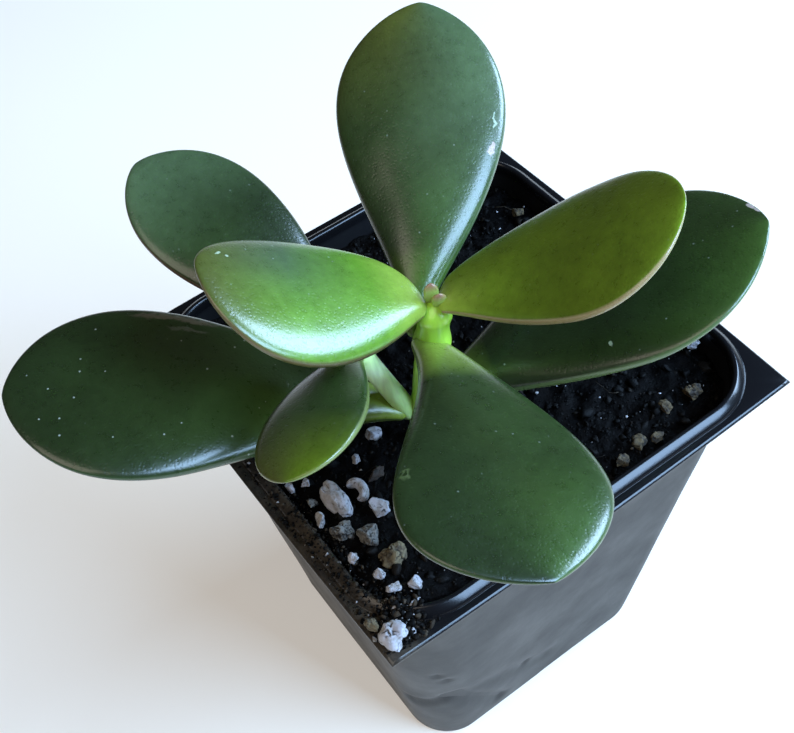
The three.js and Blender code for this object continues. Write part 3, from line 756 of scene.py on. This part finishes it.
def soilMesh():
    mesh = bmesh.new()
    bmesh.ops.create_grid(mesh, x_segments=soil["cells"], y_segments=soil["cells"], size=1)
    half = (pot["topHalf"] - pot["wall"]) * taper(soil["level"]) - 0.05
    share = (pot["cornerRadius"] - pot["wall"]) / (pot["topHalf"] - pot["wall"])
    edge = [e for e in mesh.edges if e.is_boundary]
    for vert in mesh.verts:
        x, y = roundCorner(vert.co.x, vert.co.y, share)
        vert.co = Vector((x * half, y * half, roughSoil(x * half, y * half))) * mm
    skirt = bmesh.ops.extrude_edge_only(mesh, edges=edge)["geom"]
    scale = (taper(soil["bottom"]) - 0.02) / taper(soil["level"])
    for vert in [e for e in skirt if isinstance(e, bmesh.types.BMVert)]:
        vert.co = Vector((vert.co.x * scale, vert.co.y * scale, soil["bottom"] * mm))
    bmesh.ops.holes_fill(mesh, edges=[e for e in skirt if isinstance(e, bmesh.types.BMEdge)], sides=0)
    bmesh.ops.recalc_face_normals(mesh, faces=mesh.faces)
    return mesh


def cutFacets(verts, middle, reach, cuts, draw):  # slices flats off a lump, as if it had been broken
    for cut in range(cuts):
        facing = Vector((draw.gauss(0, 1), draw.gauss(0, 1), draw.gauss(0, 1))).normalized()
        limit = reach * draw.uniform(0.4, 0.85)
        for vert in verts:
            over = (vert.co - middle).dot(facing) - limit
            if over > 0:
                vert.co -= facing * over


def crumbBatch(count, kind, spots, draw):  # a few loose lumps, each at the next of the spots
    mesh = bmesh.new()
    tint = mesh.verts.layers.float.new("crumbTint")
    for i in range(count):
        size = kind["small"] * (kind["large"] / kind["small"]) ** (draw.random() ** 2.2)
        x, y, z = spots(size, draw)
        middle = Vector((x, y, z)) * mm
        turn = Matrix.Rotation(draw.uniform(0, 6.28), 4,
                               Vector((draw.gauss(0, 1), draw.gauss(0, 1), draw.gauss(0, 1))))
        stretch = Matrix.Diagonal((draw.uniform(0.7, 1.7), draw.uniform(0.6, 1.1), draw.uniform(0.4, 0.9), 1))
        lump = bmesh.ops.create_icosphere(mesh, subdivisions=kind["detail"], radius=size / 2 * mm,
                                          matrix=Matrix.Translation(middle) @ turn @ stretch)["verts"]
        cutFacets(lump, middle, size / 2 * mm, 6, draw)
        pale = draw.random() < kind["pale"]
        shade = 1 - draw.random() * 0.12 if pale else min(0.8, draw.random() ** 2 * kind["brown"])
        for vert in lump:
            vert.co += (vert.co - middle) * noise.noise(vert.co / mm * 1.6) * 0.6
            vert[tint] = shade
    return mesh


def gathered(parts):  # many small meshes as one, because operators slow down as a mesh grows
    whole = bmesh.new()
    for part in parts:
        data = bpy.data.meshes.new("part")
        part.to_mesh(data)
        part.free()
        whole.from_mesh(data)
        bpy.data.meshes.remove(data)
    return whole


def crumbMesh(count, kind, spots, seed):
    draw = random.Random(seed)
    return gathered([crumbBatch(50, kind, spots, draw) for i in range(count // 50)])


def onSoil(size, draw):
    while True:
        x, y = draw.uniform(-35, 35), draw.uniform(-35, 35)
        if mouthDistance(x, y, taper(soil["level"])) < -size * 0.6:
            return x, y, roughSoil(x, y) + size * draw.uniform(-0.15, 0.2)


def onRim(size, draw):  # spilled along the left side of the rim, thickest towards the front corner
    while True:
        y = 24 - 61 * math.sqrt(draw.random())
        x = draw.uniform(-37.8, -31)
        if mouthDistance(x, y) > -2:
            return x, y, rimHeight(x, y) + size * 0.3


def onHeap(size, draw):  # a low heap across the front left corner of the rim
    while True:
        x, y = draw.gauss(soil["heapAt"], 1.7), draw.gauss(soil["heapAt"], 2.0)
        if max(abs(x), abs(y)) < 37.4:
            heap = 1.1 * bell(math.hypot(x + 33, y + 33), 2.4)
            return x, y, rimHeight(x, y) + heap * draw.random() + size * 0.3


def fibreMesh(count, seed):  # root hairs and peat fibres lying on the soil
    mesh = bmesh.new()
    tint = mesh.verts.layers.float.new("crumbTint")
    draw = random.Random(seed)
    for i in range(count):
        x, y = draw.uniform(-31, 31), draw.uniform(-31, 31)
        heading, length, thick = draw.uniform(0, 6.28), draw.uniform(1.5, 5), draw.uniform(0.05, 0.1)
        shade = draw.choice((0.3, 0.5, 0.8))
        ring = bmesh.ops.create_circle(mesh, segments=4, radius=thick * mm, cap_ends=True)["verts"]
        edges = list({e for v in ring for e in v.link_edges})
        z = roughSoil(x, y) + 0.2
        turn = Matrix.Rotation(heading, 4, "Z") @ Matrix.Rotation(math.pi / 2, 4, "Y")
        bmesh.ops.transform(mesh, matrix=Matrix.Translation(Vector((x, y, z)) * mm) @ turn, verts=ring)
        for vert in ring:
            vert[tint] = shade
        for step in range(6):
            heading += draw.uniform(-0.5, 0.5)
            dx, dy = math.cos(heading) * length / 6, math.sin(heading) * length / 6
            x, y = x + dx, y + dy
            if mouthDistance(x, y, taper(soil["level"])) > -0.5:
                break
            grown = bmesh.ops.extrude_edge_only(mesh, edges=edges)["geom"]
            ring = [e for e in grown if isinstance(e, bmesh.types.BMVert)]
            edges = [e for e in grown if isinstance(e, bmesh.types.BMEdge)]
            rise = roughSoil(x, y) + 0.2 + draw.uniform(-0.1, 0.3)
            bmesh.ops.translate(mesh, verts=ring, vec=Vector((dx, dy, rise - z)) * mm)
            z = rise
        bmesh.ops.holes_fill(mesh, edges=edges, sides=0)
    bmesh.ops.recalc_face_normals(mesh, faces=mesh.faces)
    return mesh


def peatSoil():  # moist peat: nearly black, with a faint damp glint here and there
    material, tree = newMaterial("moistPeat")
    space = addNode(tree, "ShaderNodeTexCoord").outputs["Object"]
    patches = addNode(tree, "ShaderNodeTexNoise",
                      {"Vector": space, "Scale": 1000 / 2.5, "Detail": 6, "Roughness": 0.7})
    colour = addNode(tree, "ShaderNodeValToRGB", {0: patches.outputs[0]},
                     stops=((0.35, "010101"), (0.55, "040303"), (0.8, "0c0907")))
    gloss = addNode(tree, "ShaderNodeMapRange",
                    {"Value": patches.outputs[0], "From Min": 0.3, "From Max": 0.7,
                     "To Min": 0.5, "To Max": 0.95})
    grain = addNode(tree, "ShaderNodeTexNoise", {"Vector": space, "Scale": 1000 / 0.5, "Detail": 4})
    bump = addNode(tree, "ShaderNodeBump", {"Height": grain.outputs[0], "Strength": 1, "Distance": 0.3 * mm})
    shader = addNode(tree, "ShaderNodeBsdfPrincipled", {
        "Base Color": colour.outputs[0], "Roughness": gloss.outputs[0], "Specular IOR Level": 0.06,
        "Normal": bump.outputs[0],
    })
    addNode(tree, "ShaderNodeOutputMaterial", {"Surface": shader.outputs["BSDF"]})
    return material


def crumbSoil():  # loose crumbs: black peat, a few brown bark bits and white perlite fines
    material, tree = newMaterial("looseCrumbs")
    tint = addNode(tree, "ShaderNodeAttribute", attribute_name="crumbTint")
    colour = addNode(tree, "ShaderNodeValToRGB", {0: tint.outputs["Fac"]},
                     stops=((0, "020202"), (0.3, "070605"), (0.6, "1c1712"), (0.8, "3c342a"),
                            (0.88, "7c7974"), (1, "b4b4ba")))
    space = addNode(tree, "ShaderNodeTexCoord").outputs["Object"]
    grain = addNode(tree, "ShaderNodeTexNoise", {"Vector": space, "Scale": 1000 / 0.3, "Detail": 3})
    bump = addNode(tree, "ShaderNodeBump",
                   {"Height": grain.outputs[0], "Strength": 0.8, "Distance": 0.1 * mm})
    shader = addNode(tree, "ShaderNodeBsdfPrincipled", {
        "Base Color": colour.outputs[0], "Roughness": 0.65, "Specular IOR Level": 0.12,
        "Normal": bump.outputs[0],
    })
    addNode(tree, "ShaderNodeOutputMaterial", {"Surface": shader.outputs["BSDF"]})
    return material


crumbKinds = {  # sizes across, how fine the mesh is, the share of white bits and how brown the rest may be
    "crumb": {"small": 0.5, "large": 2.4, "detail": 2, "pale": 0.006, "brown": 0.55},
    "grit": {"small": 0.2, "large": 0.7, "detail": 1, "pale": 0.04, "brown": 0.6},
    "spill": {"small": 0.2, "large": 1.0, "detail": 1, "pale": 0.03, "brown": 1.1},
    "heap": {"small": 0.3, "large": 1.3, "detail": 2, "pale": 0.04, "brown": 1.0},
}

addPiece("soil", soilMesh(), peatSoil(), ["potting_soil"])
looseCrumbs = crumbSoil()
for pieceName, kindName, spots, count in (
        ("soil-crumbs", "crumb", onSoil, soil["crumbs"]), ("soil-grit", "grit", onSoil, soil["grit"]),
        ("rim-crumbs", "spill", onRim, soil["rimCrumbs"]), ("corner-heap", "heap", onHeap, soil["heap"])):
    soil["seed"] += 1
    crumbs = crumbMesh(count, crumbKinds[kindName], spots, soil["seed"])
    addPiece(pieceName, crumbs, looseCrumbs)
addPiece("soil-fibres", fibreMesh(soil["fibres"], soil["seed"] + 1), looseCrumbs)
print("soil is made")

# finish, flats cut off, knobs, cracks: how deep and how many round the grain, and its own shape if curved
grains = {
    "perlite_large": ("white", 3, 0.16, 0.10, 1.5), "perlite_curved": ("white", 0, 0.1, 0.14, 2.2),
    "perlite_round": ("white", 7, 0.12, 0.08, 1.3), "perlite_bank": ("white", 6, 0.3, 0.16, 2),
    "perlite_sliver": ("white", 7, 0.3, 0.1, 2), "perlite_edge_front": ("white", 5, 0.3, 0.14, 2),
    "perlite_edge_left": ("white", 8, 0.25, 0.08, 2), "perlite_left_a": ("white", 8, 0.2, 0.06, 2),
    "perlite_left_b": ("white", 8, 0.3, 0.1, 2), "perlite_left_c": ("grey", 7, 0.3, 0.1, 2),
    "perlite_stem_a": ("white", 8, 0.2, 0.08, 2), "perlite_stem_b": ("white", 6, 0.15, 0.06, 1.5),
    "perlite_front": ("white", 8, 0.25, 0.1, 2), "perlite_right_corner": ("white", 6, 0.35, 0.16, 2),
    "perlite_back": ("tan", 6, 0.3, 0.1, 2), "perlite_rim_large": ("white", 6, 0.34, 0.2, 1.6),
    "perlite_grey_left": ("grey", 5, 0.3, 0.2, 2.0), "perlite_grey_right": ("grey", 5, 0.3, 0.22, 2.4),
    "perlite_brown": ("brown", 5, 0.22, 0.2, 2.2), "perlite_rim_tan": ("brown", 6, 0.3, 0.1, 2),
    "grain_right_a": ("tan", 6, 0.3, 0.18, 2), "grain_right_b": ("tan", 6, 0.3, 0.14, 2),
    "grain_right_c": ("tan", 6, 0.3, 0.16, 2), "grain_right_d": ("tan", 6, 0.3, 0.14, 2),
    "grain_right_e": ("tan", 6, 0.3, 0.14, 2), "bark_chip": ("bark", 9, 0.3, 0.14, 2.5),
}


def bent(spot):  # the unit ball drawn out and bent into an arc that opens to the left
    turn = spot.x * 1.9
    thick = 0.36 * math.sqrt(max(0.05, 1 - spot.x ** 2 * 0.6))
    reach = 0.72 + spot.y * thick / 0.8
    return Vector((math.cos(turn) * reach * 1.3 - 0.45, math.sin(turn) * reach, spot.z))


def grainMesh(node, seed):  # popped mineral: broken flats, knobs, and cracks that are coloured dark
    low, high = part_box(node)
    middle, half = (low + high) / 2, (high - low) / 2
    finish, flats, knobs, depth, often = grains[node]
    draw = random.Random(seed)
    mesh = bmesh.new()
    bmesh.ops.create_icosphere(mesh, subdivisions=5 if max(half) > 1.4 * mm else 4, radius=1)
    cutFacets(mesh.verts, Vector((0, 0, 0)), 1, flats, draw)
    shift = Vector((seed * 3.7, seed * 1.9, seed * 5.3))
    pit = mesh.verts.layers.float.new("pit")
    for vert in mesh.verts:
        facing = vert.co.normalized()
        knob = noise.noise(facing * 1.7 + shift) * knobs
        warped = facing * often + noise.noise_vector(facing * 3 + shift) * 0.25
        line = abs(noise.noise(warped + shift * 2))
        where = min(1, max(0, noise.noise(facing * 1.2 - shift) * 3 + (0.7 if finish == "white" else 1.1)))
        crack = max(0, 1 - line * (14 if finish == "white" else 7)) * where
        fine = noise.fractal(facing * 7 + shift, 0.8, 2, 3) * 0.03
        vert[pit] = min(1, crack * 1.6)
        spot = vert.co * (1.04 + knob - depth * crack + fine)
        if node == "perlite_curved":
            spot = bent(spot)
        vert.co = middle + Vector((spot.x * half.x, spot.y * half.y, spot.z * half.z))
    bmesh.ops.recalc_face_normals(mesh, faces=mesh.faces)
    return mesh


def grainStone(name, pale, patch, dark):  # expanded volcanic glass: matt, stained, darker in its cracks
    material, tree = newMaterial(name)
    pit = addNode(tree, "ShaderNodeAttribute", attribute_name="pit")
    space = addNode(tree, "ShaderNodeTexCoord").outputs["Object"]
    patches = addNode(tree, "ShaderNodeTexNoise",
                      {"Vector": space, "Scale": 1000 / 1.6, "Detail": 5, "Roughness": 0.7})
    stain = addNode(tree, "ShaderNodeMapRange",
                    {"Value": patches.outputs[0], "From Min": 0.45, "From Max": 0.62})
    colour = addNode(tree, "ShaderNodeMix",
                     {0: stain.outputs[0], 6: linear(pale), 7: linear(patch)}, data_type="RGBA")
    colour = addNode(tree, "ShaderNodeMix", {0: pit.outputs["Fac"], 6: colour.outputs[2], 7: linear(dark)},
                     data_type="RGBA")
    grain = addNode(tree, "ShaderNodeTexNoise", {"Vector": space, "Scale": 1000 / 0.35, "Detail": 3})
    bump = addNode(tree, "ShaderNodeBump",
                   {"Height": grain.outputs[0], "Strength": 0.8, "Distance": 0.12 * mm})
    shader = addNode(tree, "ShaderNodeBsdfPrincipled", {
        "Base Color": colour.outputs[2], "Roughness": 0.8, "Normal": bump.outputs[0],
    })
    addNode(tree, "ShaderNodeOutputMaterial", {"Surface": shader.outputs["BSDF"]})
    return material


finishes = {
    "white": grainStone("whitePerlite", "b0b0b8", "8e8b88", "14110e"),
    "grey": grainStone("dirtyPerlite", "75736e", "2e2822", "100d0a"),
    "brown": grainStone("stainedPerlite", "74694f", "42382a", "0c0a07"),
    "tan": grainStone("tanGrain", "54462c", "241c12", "0a0806"),
    "bark": grainStone("barkChip", "3a3028", "1c1611", "0a0806"),
}
for i, (node, traits) in enumerate(grains.items()):
    addPiece(node.replace("_", "-"), grainMesh(node, i + 3), finishes[traits[0]], [node])
print("grains are made")
